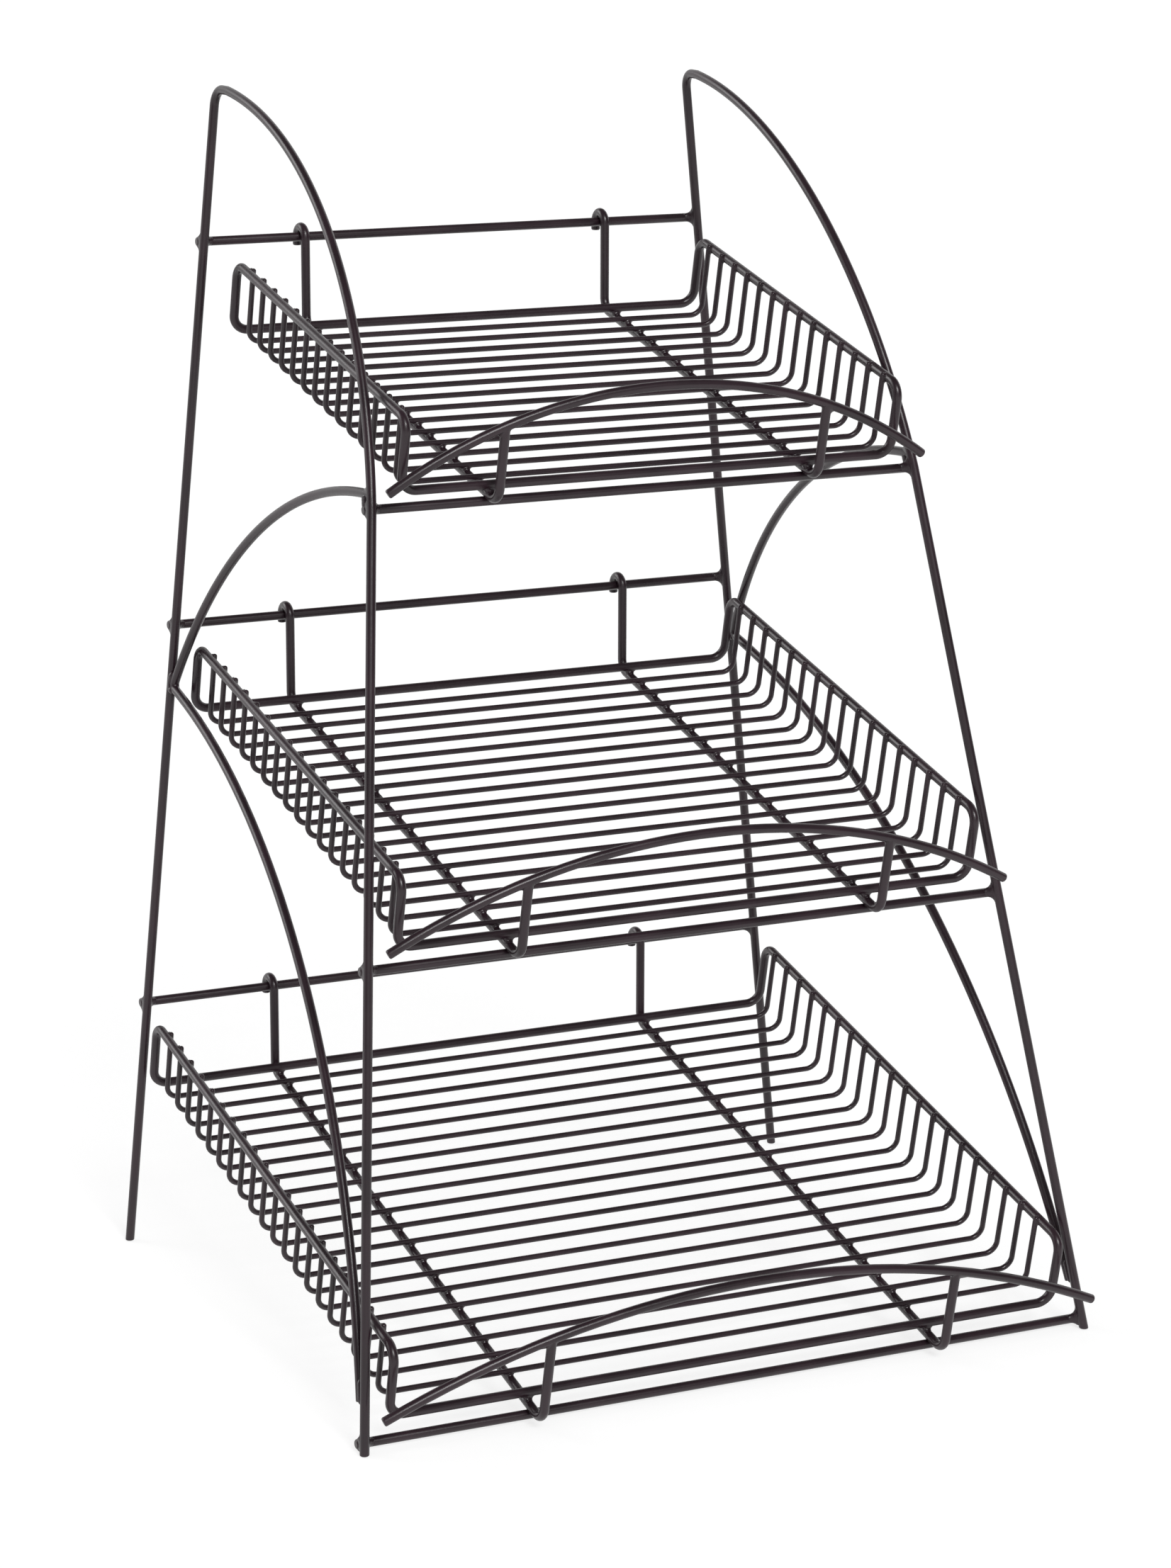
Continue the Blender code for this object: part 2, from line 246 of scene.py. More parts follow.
def make_softbox(box):
    lamp = bpy.data.lights.new(box.name, "SUN")
    lamp.energy = box.strength
    lamp.angle = math.radians(box.width)
    holder = bpy.data.objects.new(box.name, lamp)
    turn = Matrix.Rotation(math.radians(box.azimuth), 4, "Z")
    holder.matrix_world = turn @ Matrix.Rotation(math.radians(90 - box.height), 4, "X")
    scene.collection.objects.link(holder)


for softbox in SOFTBOXES:
    make_softbox(softbox)
print(len(SOFTBOXES), "softboxes")

# %% [markdown]
# ## Black powder coat
# The real finish is polyester powder, sprayed on dry and baked until it flows together over the
# steel. It gives a closed plastic skin, near black with a warm, faintly purple cast, satin rather
# than glossy. Two things tell it from paint: it rounds every edge, and it dries with orange peel, a
# gentle waviness a couple of millimetres from crest to crest. The waves are far too low to change a
# wire's outline, so they are bump, and they are drawn a little coarser than life, or they would not
# show at this distance. A second, slower noise lets the colour and the sheen drift, as powder never
# lies quite evenly.

# %% Powder coat
COAT_DARK = "#1E1218"
COAT_LIGHT = "#291921"
COAT_IOR = 1.50
SATIN = (0.27, 0.35)  # roughness where the powder lies thick, and where it lies thin
PEEL_WAVE = 0.0026  # crest to crest
PEEL_HEIGHT = 0.00004
PEEL_DETAIL = 1.5
WELD_PEEL_WAVE = 0.0018  # on a weld the skin is rougher
WELD_PEEL_HEIGHT = 0.00012
DRIFT_WAVE = 0.0350  # how slowly the colour drifts
DRIFT_DETAIL = 3.0
TINT_RANGE = (0.35, 0.65)  # where in the slow noise the colour changes
SHEEN_RANGE = (0.30, 0.70)  # and where the roughness does


def black_powder_coat(name, peel_wave=PEEL_WAVE, peel_height=PEEL_HEIGHT):
    coat = bpy.data.materials.new(name)
    tree = cleared_tree(coat)
    place = add(tree, "ShaderNodeTexCoord").outputs["Object"]
    slow = {"Vector": place, "Scale": 1 / DRIFT_WAVE, "Detail": DRIFT_DETAIL}
    drift = add(tree, "ShaderNodeTexNoise", slow)
    tint = add(tree, "ShaderNodeValToRGB", {"Fac": drift})
    for i, colour in enumerate((COAT_DARK, COAT_LIGHT)):
        tint.color_ramp.elements[i].position = TINT_RANGE[i]
        tint.color_ramp.elements[i].color = linear(colour)
    sheen = add(tree, "ShaderNodeMapRange", {
        "Value": drift, "From Min": SHEEN_RANGE[0], "From Max": SHEEN_RANGE[1],
        "To Min": SATIN[0], "To Max": SATIN[1]})
    fine = {"Vector": place, "Scale": 1 / peel_wave, "Detail": PEEL_DETAIL}
    peel = add(tree, "ShaderNodeTexNoise", fine)
    bump = add(tree, "ShaderNodeBump", {"Height": peel, "Distance": peel_height, "Strength": 1.0})
    skin = add(tree, "ShaderNodeBsdfPrincipled", {
        "Base Color": tint, "Roughness": sheen, "IOR": COAT_IOR, "Normal": bump})
    add(tree, "ShaderNodeOutputMaterial", {"Surface": skin})
    return coat


WIRE_COAT = black_powder_coat("satin_black_powder_coat_on_wire")
WELD_COAT = black_powder_coat("satin_black_powder_coat_on_welds", WELD_PEEL_WAVE, WELD_PEEL_HEIGHT)
print("Two coats, on wire and on welds")

# %% [markdown]
# ## The sizes of the rack
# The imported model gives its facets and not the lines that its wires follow, so the sizes that draw
# those lines are written again here, in metres. Depth is counted from the front feet, and one
# shift, read from the frame's own foot mounts, then puts everything where the frame has it.

# %% Wire and side frame sizes
HEAVY = 0.0050  # the coated heavy wire's diameter
LIGHT = 0.0030  # the coated light wire's diameter
GAP = 0.0003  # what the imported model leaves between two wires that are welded
WELD_SINK = 0.0013  # how far a deck wire's end is pressed into the rail
REACH = HEAVY + GAP  # centre to centre where heavy wires cross

MOUNTS = {mount["name"]: Vector(mount["pos_m"]) for mount in frame["record"]["mounts"]}
FRONT_FOOT = MOUNTS["foot_front_right"]
REAR_FOOT = MOUNTS["foot_rear_right"]
FOOT_SPREAD = FRONT_FOOT.x
REAR_STEP_IN = FRONT_FOOT.x - REAR_FOOT.x
LEG_DEPTH = REAR_FOOT.y - FRONT_FOOT.y
ON_FLOOR = Matrix.Translation((0, FRONT_FOOT.y, 0))

TOP_HEIGHT = 0.6480
LEAN_BACK = math.radians(13.3)
LEAN_IN = math.radians(6.73)
REAR_LEAN_LESS = math.radians(1.07)
TOP_BOW_RISE = 0.0444
TOP_FLAT = 0.0160
TOP_BEND = 0.0090
KNEE_ABOVE_BAR = 0.0010

BRACE_BEND = 0.0035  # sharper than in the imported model, as the real bend is
BRACE_BEND_HEIGHT = 0.3200
BRACE_FOOT_HEIGHT = 0.0240
LOWER_BOW_RISE = 0.0580
ARCH_RISE = 0.0365
ARCH_ABOVE_BAR = 0.0081
BAR_POKE = 0.0001  # how far a crossbar runs past its leg
print("Side frames stand", round(LEG_DEPTH * 1000), "mm deep on the floor")

# %% Tray sizes
DECK_SLOPE = math.radians(13.0)
WALL_HEIGHT = 0.0383
LOOP_BEND = 0.0085
DECK_BEND = 0.0070
DECK_POKE = 0.0001
LEAST_REAR_SPACE = 0.0120
FRONT_RUN_AHEAD = 0.0020
REAR_RUN_AHEAD = 0.0121
RUNNER_BEND = 0.0080
RISER_AHEAD = 0.0140
HOOK_BEND = 0.0060
HOOK_RISE = 0.0486
HOOK_TIP = 0.0028
BOW_OVERHANG = 0.0125


@dataclass
class Tray:
    """The sizes that differ from tray to tray."""

    name: str
    bar_height: float  # centre of the front crossbar that carries it
    side_gap: float  # side rail to the front leg beside it
    runner_inset: float  # side rail to runner
    first_space: float  # front run to the first deck wire
    pitch: float  # deck wire to deck wire
    bow_lift: float  # the bow's ends above the deck plane
    bow_rise: float  # the bow's top above its ends
    basket_back: float  # how far back on its runners the basket is welded


TRAYS = (
    Tray("top", 0.4559, 0.0051, 0.0490, 0.0135, 0.0159, 0.0038, 0.0485, -0.0019),
    Tray("middle", 0.2320, 0.0067, 0.0615, 0.0152, 0.01615, 0.0062, 0.0479, 0.0034),
    Tray("bottom", 0.0040, 0.0056, 0.0765, 0.0215, 0.0163, 0.0115, 0.0475, 0.0064),
)
TOP_TRAY = TRAYS[0]
SIDES = {"left": -1, "right": 1}
ACROSS, ALONG, UP = Matrix.Identity(3)
print([tray.name for tray in TRAYS])

# %% [markdown]
# ## Curves in code
# A bent wire is straight runs joined by arcs. A curve object with Bezier handles could draw that,
# but arcs worked out as points keep their true radius and can be as fine as the eye needs: a ring
# every 6 degrees in a tight bend. `turned` gives points on a circle, `arc` a long shallow bow, and
# `rounded` a path whose corners are bends. A straight run needs no points of its own.

# %% Arcs and bends
BEND_STEP = math.radians(6)
BOW_STEP = math.radians(1.5)
SAME_PLACE = 0.00001


def side_view(y, z):
    return Vector((0, y, z))


def turned(centre, start, end, step):
    """Points from start to end on the circle about centre."""
    arm = start - centre
    turn = arm.rotation_difference(end - centre)
    count = max(2, round(turn.angle / step))
    return [centre + Quaternion(turn.axis, turn.angle * i / count) @ arm for i in range(count + 1)]


def arc(start, end, rise):
    """The circular arc from start to end that stands up over its chord by rise."""
    chord = end - start
    upward = (UP - UP.project(chord)).normalized()
    radius = (chord.length_squared / 4 + rise**2) / (2 * rise)
    return turned(start + chord / 2 + upward * (rise - radius), start, end, BOW_STEP)


def rounded(corners):
    """The path through corners given as point and bend radius. A radius of 0 leaves the point."""
    path = []
    for i, (corner, radius) in enumerate(corners):
        if radius == 0:
            path.append(corner)
            continue
        back = (corners[i - 1][0] - corner).normalized()
        ahead = (corners[(i + 1) % len(corners)][0] - corner).normalized()
        half_turn = (math.pi - back.angle(ahead)) / 2
        reach = radius * math.tan(half_turn)
        centre = corner + (back + ahead).normalized() * radius / math.cos(half_turn)
        path += turned(centre, corner + back * reach, corner + ahead * reach, BEND_STEP)
    return [here for i, here in enumerate(path) if (here - path[i - 1]).length > SAME_PLACE]


print("A quarter bend has", len(turned(UP * 0, ACROSS, UP, BEND_STEP)), "points")

# %% [markdown]
# ## The lines of the side frames
# Each side of the real frame is two rods. The side rod starts at the front foot, runs up the
# leaning front leg, turns over the top bow and comes down the rear leg. The brace rod rises from
# low on the front leg to a tight bend on the rear leg, and its arch comes back over the middle tray
# to meet the front leg again. Both legs lean, by different amounts, so a side is drawn in side view
# first and then laid on the slightly twisted surface between the legs.

# %% Places on the side frames
def front_leg(height):
    """The centre line of the right front leg at this height."""
    return Vector((FOOT_SPREAD - height * math.tan(LEAN_IN), height * math.tan(LEAN_BACK), height))


def rear_leg(height):
    """The centre line of the right rear leg at this height."""
    lean = math.tan(LEAN_IN - REAR_LEAN_LESS)
    return Vector((FOOT_SPREAD - REAR_STEP_IN - height * lean, LEG_DEPTH, height))


def mirrored(point, side):
    return Vector((side * point.x, point.y, point.z))


def on_side(point, side):
    """A point of the side view, put on the surface through both legs of one side."""
    front = front_leg(point.z)
    rear = rear_leg(point.z)
    place = front.lerp(rear, (point.y - front.y) / (rear.y - front.y))
    return mirrored(place, side)


def at_height(path, height):
    """The point of a rising path at this height."""
    above = next(i for i, point in enumerate(path) if point.z > height)
    low = path[above - 1]
    high = path[above]
    return low.lerp(high, (height - low.z) / (high.z - low.z))


# %% Side rod and brace rod
FLOOR_CUT = 0.0060


def top_bow():
    """The side view of the top bow, from the front leg's knee to the flat behind it."""
    knee = front_leg(TOP_TRAY.bar_height + KNEE_ABOVE_BAR)
    flat = side_view(LEG_DEPTH - TOP_FLAT, TOP_HEIGHT)
    return arc(side_view(knee.y, knee.z), flat, TOP_BOW_RISE)


def side_rod_path(side):
    """Front leg, top bow, top rear corner and rear leg. Both ends lie below the floor."""
    foot = front_leg(-FLOOR_CUT)
    corners = [(side_view(foot.y, foot.z), 0)]
    corners += [(point, 0) for point in top_bow()]
    corners += [(side_view(LEG_DEPTH, TOP_HEIGHT), TOP_BEND), (side_view(LEG_DEPTH, -FLOOR_CUT), 0)]
    return [on_side(point, side) for point in rounded(corners)]


def brace_side_view(corner_y):
    """Lower bow, sharp bend at the rear leg and arch, for a bend whose corner is at this depth."""
    foot = front_leg(BRACE_FOOT_HEIGHT)
    start = side_view(foot.y + REACH / math.cos(LEAN_BACK), foot.z)
    corner = side_view(corner_y, BRACE_BEND_HEIGHT)
    end = at_height(top_bow(), TOP_TRAY.bar_height + ARCH_ABOVE_BAR)
    corners = [(point, 0) for point in arc(start, corner, LOWER_BOW_RISE)[:-1]]
    corners += [(corner, BRACE_BEND)]
    corners += [(point, 0) for point in arc(corner, end, ARCH_RISE)[1:]]
    return rounded(corners)


def brace_rod_path(side):
    """The bend is set back until it just meets the rear leg."""
    touch = LEG_DEPTH - REACH
    short = touch - max(point.y for point in brace_side_view(touch))
    return [on_side(point, side) for point in brace_side_view(touch + short)]


side_length = sum((b - a).length for a, b in zip(side_rod_path(1), side_rod_path(1)[1:]))
print("A side rod is cut from", round(side_length * 1000), "mm of wire")

# %% [markdown]
# ## The lines of a tray
# A tray is drawn flat, on its own axes, and then tilted: X across, Y up the sloping deck, Z square
# to it. Its heavy loop drops at each corner to the front and rear runs. Light wires cross the deck
# and turn up to the side rails. Two runners carry the deck: each hooks over the rear crossbar,
# drops, runs forward below the deck and rises in front to the bow.

# %% Places on a tray
def front_bar_place(tray):
    """The front crossbar's centre, behind the front legs."""
    leg = front_leg(tray.bar_height)
    return side_view(leg.y + REACH / math.cos(LEAN_BACK), tray.bar_height)


def tray_axes(tray):
    """The tray's own axes, with their origin at the middle of its front run."""
    turn = Matrix.Rotation(DECK_SLOPE, 4, "X")
    from_bar = turn @ side_view(tray.basket_back - FRONT_RUN_AHEAD, 2 * REACH)
    return Matrix.Translation(front_bar_place(tray) + from_bar) @ turn


def in_tray(tray, y, z):
    """A point of the side view, counted along the tray's own axes."""
    return tray_axes(tray).inverted() @ side_view(y, z)


def hook_leg_y():
    """The hook's long leg hangs in front of the rear crossbar."""
    return LEG_DEPTH + REACH - HOOK_BEND


def runner_corner(tray):
    """Where the runner, below the deck, turns up into the hook's long leg."""
    start = tray_axes(tray) @ side_view(0, -REACH)
    return side_view(hook_leg_y(), start.z + (hook_leg_y() - start.y) * math.tan(DECK_SLOPE))


def rear_bar_place(tray):
    """The rear crossbar's centre, behind the rear legs."""
    return side_view(LEG_DEPTH + REACH, runner_corner(tray).z + HOOK_RISE)


def deck_length(tray):
    """Front run to rear run."""
    corner = runner_corner(tray)
    return in_tray(tray, corner.y, corner.z).y - REAR_RUN_AHEAD + tray.basket_back


def riser_y(tray):
    """The risers and the bow stand in front of the front run, each tray's in its own place."""
    return -RISER_AHEAD - tray.basket_back


def half_width(tray):
    """The middle to the centre of a side rail."""
    rail = tray_axes(tray) @ side_view(0, WALL_HEIGHT)
    return front_leg(rail.z).x - HEAVY - tray.side_gap


def bow_half(tray):
    return half_width(tray) + BOW_OVERHANG


def bow_height(tray, x):
    """The bow's centre line above the deck plane, at a distance from the middle."""
    radius = (bow_half(tray) ** 2 + tray.bow_rise**2) / (2 * tray.bow_rise)
    return tray.bow_lift + tray.bow_rise - radius + math.sqrt(radius**2 - x**2)


def runner_x(tray):
    return half_width(tray) - tray.runner_inset


def deck_wire_count(tray):
    room = deck_length(tray) - tray.first_space - LEAST_REAR_SPACE
    return int(room / tray.pitch) + 1


print("Deck wires:", {tray.name: deck_wire_count(tray) for tray in TRAYS})


# %% Wires of a tray
def loop_path(tray):
    """Down at each corner to the front and rear runs, up to the side rails."""
    x = half_width(tray)
    rear = deck_length(tray)
    corners = []
    for i, (across, along) in enumerate(((-x, 0), (x, 0), (x, rear), (-x, rear))):
        heights = (WALL_HEIGHT, 0) if i % 2 == 0 else (0, WALL_HEIGHT)
        corners += [(Vector((across, along, height)), LOOP_BEND) for height in heights]
    return rounded(corners)


def deck_wire_path(tray):
    """The first deck wire: across the deck and up the inner side of both rails."""
    x = half_width(tray) - (HEAVY + LIGHT) / 2 + WELD_SINK
    low = (LIGHT - HEAVY) / 2
    high = WALL_HEIGHT + HEAVY / 2 + DECK_POKE
    return rounded([
        (Vector((-x, tray.first_space, high)), 0),
        (Vector((-x, tray.first_space, low)), DECK_BEND),
        (Vector((x, tray.first_space, low)), DECK_BEND),
        (Vector((x, tray.first_space, high)), 0),
    ])


def runner_path(tray, side):
    """Hook over the rear crossbar, long leg, run below the deck, and riser up to the bow."""
    bar = rear_bar_place(tray)
    hook_top = bar.z + REACH
    tip = bar.z - HEAVY / 2 - HOOK_TIP
    corner = runner_corner(tray)
    x = side * runner_x(tray)
    path = rounded([
        (in_tray(tray, bar.y + HOOK_BEND, tip), 0),
        (in_tray(tray, bar.y + HOOK_BEND, hook_top), HOOK_BEND),
        (in_tray(tray, bar.y - HOOK_BEND, hook_top), HOOK_BEND),
        (in_tray(tray, corner.y, corner.z), RUNNER_BEND),
        (side_view(riser_y(tray), -REACH), RUNNER_BEND),
        (side_view(riser_y(tray), bow_height(tray, x)), 0),
    ])
    return [point + ACROSS * x for point in path]


def bow_path(tray):
    """The bow in front of the tray, in the plane of the risers."""
    end = Vector((bow_half(tray), riser_y(tray), tray.bow_lift))
    return arc(Vector((-end.x, end.y, end.z)), end, tray.bow_rise)


# %% [markdown]
# ## Round wire from a path
# Every wire here is the same thing: a circle swept along a line, cut square at both ends, and
# rounded there by the coat. That is one rule, so it is one Geometry Nodes tree, used for all of
# them. Curve to Mesh does the sweep. The coated ends come from the scale of its circle: close to an
# end it falls away along a quarter circle, worked out from the distance to the nearer end. An edge
# longer than the wire's radius gives a long taper, and a ripple makes the radius swell and sink
# evenly along the line. A weld bead has both, and is otherwise made like a short wire. The sums are
# a table, one Math node a line: its result, what it does and its inputs. Math gives 0 for a
# division by 0, so an edge or ripple of 0 leaves the wire plain, as a closed loop needs it. Python
# puts a few extra points close to each cut end, for the sweep to have rings to bend there.

# %% Tree: coated wire
EDGE = 0.0009  # how far the coat rounds a cut end
EDGE_RINGS = 5
MOST_LOST = 0.95  # the part of its radius that a wire can lose to a rounded end
WIRE_INPUTS = (
    ("Path", "NodeSocketGeometry"),
    ("Diameter", "NodeSocketFloat"),
    ("Sides", "NodeSocketInt"),
    ("Edge", "NodeSocketFloat"),
    ("Ripple", "NodeSocketFloat"),
    ("Ripple Depth", "NodeSocketFloat"),
    ("Coat", "NodeSocketMaterial"),
)
WIRE_SUMS = (
    ("other way", "SUBTRACT", "whole", "along"),
    ("to end", "MINIMUM", "along", "other way"),
    ("edges", "DIVIDE", "to end", "Edge"),
    ("capped", "MINIMUM", "edges", 1.0),
    ("inward", "SUBTRACT", 1.0, "capped"),
    ("squared", "MULTIPLY", "inward", "inward"),
    ("rest", "SUBTRACT", 1.0, "squared"),
    ("quarter", "SQRT", "rest"),
    ("fall", "SUBTRACT", 1.0, "quarter"),
    ("radius", "DIVIDE", "Diameter", 2.0),
    ("most", "MULTIPLY", "radius", MOST_LOST),
    ("depth", "MINIMUM", "Edge", "most"),
    ("lost", "MULTIPLY", "fall", "depth"),
    ("lost share", "DIVIDE", "lost", "radius"),
    ("share", "SUBTRACT", 1.0, "lost share"),
    ("ripples", "DIVIDE", "along", "Ripple"),
    ("turns", "MULTIPLY", "ripples", math.pi),
    ("wave", "SINE", "turns"),
    ("swell", "ABSOLUTE", "wave"),
    ("dip", "SUBTRACT", 1.0, "swell"),
    ("sunk", "MULTIPLY", "dip", "Ripple Depth"),
    ("rippled", "SUBTRACT", 1.0, "sunk"),
    ("scale", "MULTIPLY", "share", "rippled"),
)


def new_tree(name, sockets):
    """An empty Geometry Nodes tree, and its inputs by name."""
    tree = bpy.data.node_groups.new(name, "GeometryNodeTree")
    tree.interface.new_socket("Geometry", in_out="OUTPUT", socket_type="NodeSocketGeometry")
    for label, kind in sockets:
        tree.interface.new_socket(label, in_out="INPUT", socket_type=kind)
    given = add(tree, "NodeGroupInput").outputs
    return tree, {label: given[label] for label, _ in sockets}


def finish_tree(tree, geometry, coat):
    """Smooth, real mesh with its coat: the end of every tree here."""
    smooth = add(tree, "GeometryNodeSetShadeSmooth", {"Geometry": geometry})
    real = add(tree, "GeometryNodeRealizeInstances", {"Geometry": smooth})
    coated = add(tree, "GeometryNodeSetMaterial", {"Geometry": real, "Material": coat})
    add(tree, "NodeGroupOutput", {"Geometry": coated})


def coated_wire_tree():
    tree, known = new_tree("coated_wire", WIRE_INPUTS)
    known["along"] = add(tree, "GeometryNodeSplineParameter").outputs["Length"]
    known["whole"] = add(tree, "GeometryNodeSplineLength").outputs["Length"]
    for result, operation, *inputs in WIRE_SUMS:
        sockets = {i: known.get(value, value) for i, value in enumerate(inputs)}
        known[result] = add(tree, "ShaderNodeMath", sockets, operation=operation)
    size = {"Resolution": known["Sides"], "Radius": known["radius"]}
    circle = add(tree, "GeometryNodeCurvePrimitiveCircle", size)
    sweep = {"Curve": known["Path"], "Profile Curve": circle, "Scale": known["scale"]}
    swept = add(tree, "GeometryNodeCurveToMesh", {**sweep, "Fill Caps": True})
    finish_tree(tree, swept, known["Coat"])
    return tree


COATED_WIRE = coated_wire_tree()
print(len(COATED_WIRE.nodes), "nodes sweep a wire")

# %% [markdown]
# ## Running a tree and keeping its result
# A tree runs as a modifier. Its inputs are set by the sockets' identifiers, before the object is
# first evaluated. The evaluated result is copied into a plain mesh, and the place goes into the
# mesh, so that it stands at the origin. The object that carried the modifier is thrown away.

# %% From path to mesh
HEAVY_SIDES = 28
LIGHT_SIDES = 16


def run_tree(tree, carrier, values):
    """The mesh that a tree makes from a carrier object, which is removed."""
    scene.collection.objects.link(carrier)
    modifier = carrier.modifiers.new(tree.name, "NODES")
    modifier.node_group = tree
    for item in tree.interface.items_tree:
        if item.name in values:
            modifier[item.identifier] = values[item.name]
    graph = bpy.context.evaluated_depsgraph_get()
    mesh = bpy.data.meshes.new_from_object(carrier.evaluated_get(graph), depsgraph=graph)
    carrier.modifiers.remove(modifier)
    bpy.data.objects.remove(carrier, do_unlink=True)
    return mesh


def with_end_rings(path, edge):
    """The path with extra points beside both ends, where the coat rounds them."""
    steps = [edge * (1 - math.cos(math.pi / 2 * i / EDGE_RINGS)) for i in range(1, EDGE_RINGS + 1)]
    ahead = (path[1] - path[0]).normalized()
    back = (path[-2] - path[-1]).normalized()
    first = [path[0] + ahead * step for step in steps]
    last = [path[-1] + back * step for step in reversed(steps)]
    return path[:1] + first + path[1:-1] + last + path[-1:]


def path_carrier(path, closed):
    """A curve object of straight steps through the points."""
    curve = bpy.data.curves.new("path", "CURVE")
    curve.dimensions = "3D"
    spline = curve.splines.new("POLY")
    spline.points.add(len(path) - 1)
    spline.use_cyclic_u = closed
    for point, place in zip(spline.points, path):
        point.co = (*place, 1)
    return bpy.data.objects.new("path", curve)


def wire_mesh(path, place, tree=COATED_WIRE, diameter=HEAVY, sides=HEAVY_SIDES, edge=EDGE,
              closed=False, **more):
    """A coated wire along the path, moved to its place. More gives the tree's other inputs."""
    if (path[1] - path[0]).length > edge > 0:
        path = with_end_rings(path, edge)
    values = {"Diameter": diameter, "Sides": sides, "Edge": edge, "Coat": WIRE_COAT, **more}
    mesh = run_tree(tree, path_carrier(path, closed), values)
    mesh.transform(place)
    return mesh


# %% [markdown]
# ## Handing a piece to the frame
# A finished piece is an object at the origin. It rides on its body, and where it replaces a faceted
# node, that node is hidden. The printed number is how far its box lies from the faceted one: rounder
# sides, softer ends and sharper bends make up to 0.6 mm.

# %% Pieces
def hand_over(name, mesh, body, node, stands_for_node=True):
    """Make the mesh a piece on its body, hiding the node that it may replace."""
    mesh.name = name
    piece = bpy.data.objects.new(name, mesh)
    scene.collection.objects.link(piece)
    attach(piece, body)
    if stands_for_node:
        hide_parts(node)
        low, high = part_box(node)
        off = 0
        for i in range(3):
            reach = [vertex.co[i] for vertex in mesh.vertices]
            off = max(off, abs(min(reach) - low[i]), abs(max(reach) - high[i]))
        print(f"{name}: {len(mesh.polygons)} faces, {off * 1000:.2f} mm from its node's box")


# %% [markdown]
# ## Side rods
# A leg's foot is sawn flat where it meets the counter. The swept wire runs on below the floor, and
# a bisecting plane cuts it there. The cut is filled, and a bevel gives its edge the coat's small
# rounding.

# %% Side rods
FOOT_EDGE = 0.0006
FOOT_EDGE_STEPS = 3


def sawn_at_floor(mesh):
    """Cut off what lies below the floor, close the cut and round its edge."""
    shape = bmesh.new()
    shape.from_mesh(mesh)
    wire = shape.verts[:] + shape.edges[:] + shape.faces[:]
    cut = bmesh.ops.bisect_plane(shape, geom=wire, plane_co=UP * 0, plane_no=UP, clear_inner=True)
    rim = [piece for piece in cut["geom_cut"] if isinstance(piece, bmesh.types.BMEdge)]
    bmesh.ops.holes_fill(shape, edges=rim)
    rim = [edge for edge in shape.edges if all(abs(end.co.z) < SAME_PLACE for end in edge.verts)]
    bmesh.ops.bevel(shape, geom=rim, offset=FOOT_EDGE, segments=FOOT_EDGE_STEPS, profile=0.5,
                    affect="EDGES")
    return smooth_into(mesh, shape)


for hand, side in SIDES.items():
    rod = wire_mesh(side_rod_path(side), ON_FLOOR)
    hand_over(f"side_rod_{hand}_coated", sawn_at_floor(rod), "rack", f"side_rod_{hand}")

# %% [markdown]
# ## Brace rods and crossbars
# These are plain swept wires. The arch runs right up to the centre of the side rod it is welded to.
# The faceted model has to stop short of it, but here the two coats may meet, as on the real rack.

# %% Brace rods and crossbars
CROSSBARS = (("front", front_bar_place, front_leg), ("rear", rear_bar_place, rear_leg))
for hand, side in SIDES.items():
    rod = wire_mesh(brace_rod_path(side), ON_FLOOR)
    hand_over(f"brace_rod_{hand}_coated", rod, "rack", f"brace_rod_{hand}")


def crossbar_path(place, leg):
    """A straight bar that runs just past the legs it is welded behind."""
    half = ACROSS * (leg(place.z).x + HEAVY / 2 + BAR_POKE)
    return [place - half, place + half]


for tray in TRAYS:
    for end, bar_place, leg in CROSSBARS:
        bar = wire_mesh(crossbar_path(bar_place(tray), leg), ON_FLOOR)
        hand_over(f"{end}_crossbar_{tray.name}_coated", bar, "rack", f"{end}_crossbar_{tray.name}")

# %% [markdown]
# ## Deck wires
# A tray has up to twenty equal wires at an even pitch, cut and bent on one machine. Copying objects
# would do, but a rule is shorter: the tree sweeps one wire, Mesh Line lays out a point for each
# place up the slope, and Instance on Points sets the wire there. Realize Instances then makes them
# real mesh.

# %% Tree: deck wires
def row_of(tree, thing, count, pitch, scale=(1, 1, 1)):
    """Copies of a thing, set out along Y."""
    step = add(tree, "ShaderNodeCombineXYZ", {"Y": pitch})
    places = add(tree, "GeometryNodeMeshLine", {"Count": count, "Offset": step}, mode="OFFSET")
    row = {"Points": places, "Instance": thing, "Scale": scale}
    return add(tree, "GeometryNodeInstanceOnPoints", row)


def deck_wires_tree():
    sockets = WIRE_INPUTS + (("Count", "NodeSocketInt"), ("Pitch", "NodeSocketFloat"))
    tree, given = new_tree("deck_wires", sockets)
    wire_inputs = {label: given[label] for label, _ in WIRE_INPUTS}
    wire = add(tree, "GeometryNodeGroup", wire_inputs, node_tree=COATED_WIRE)
    finish_tree(tree, row_of(tree, wire, given["Count"], given["Pitch"]), given["Coat"])
    return tree


DECK_WIRES = deck_wires_tree()

# %% [markdown]
# ## The trays
# Each tray's wires are made on its own axes, then moved to their place in one step. The ends of the
# deck wires stand up beside the rails, and there the press and the coat have left them round as
# domes.

# %% Trays
DECK_EDGE = 0.0013  # the coat's rounding there, nearly the wire's radius


def tray_place(tray):
    return ON_FLOOR @ tray_axes(tray)


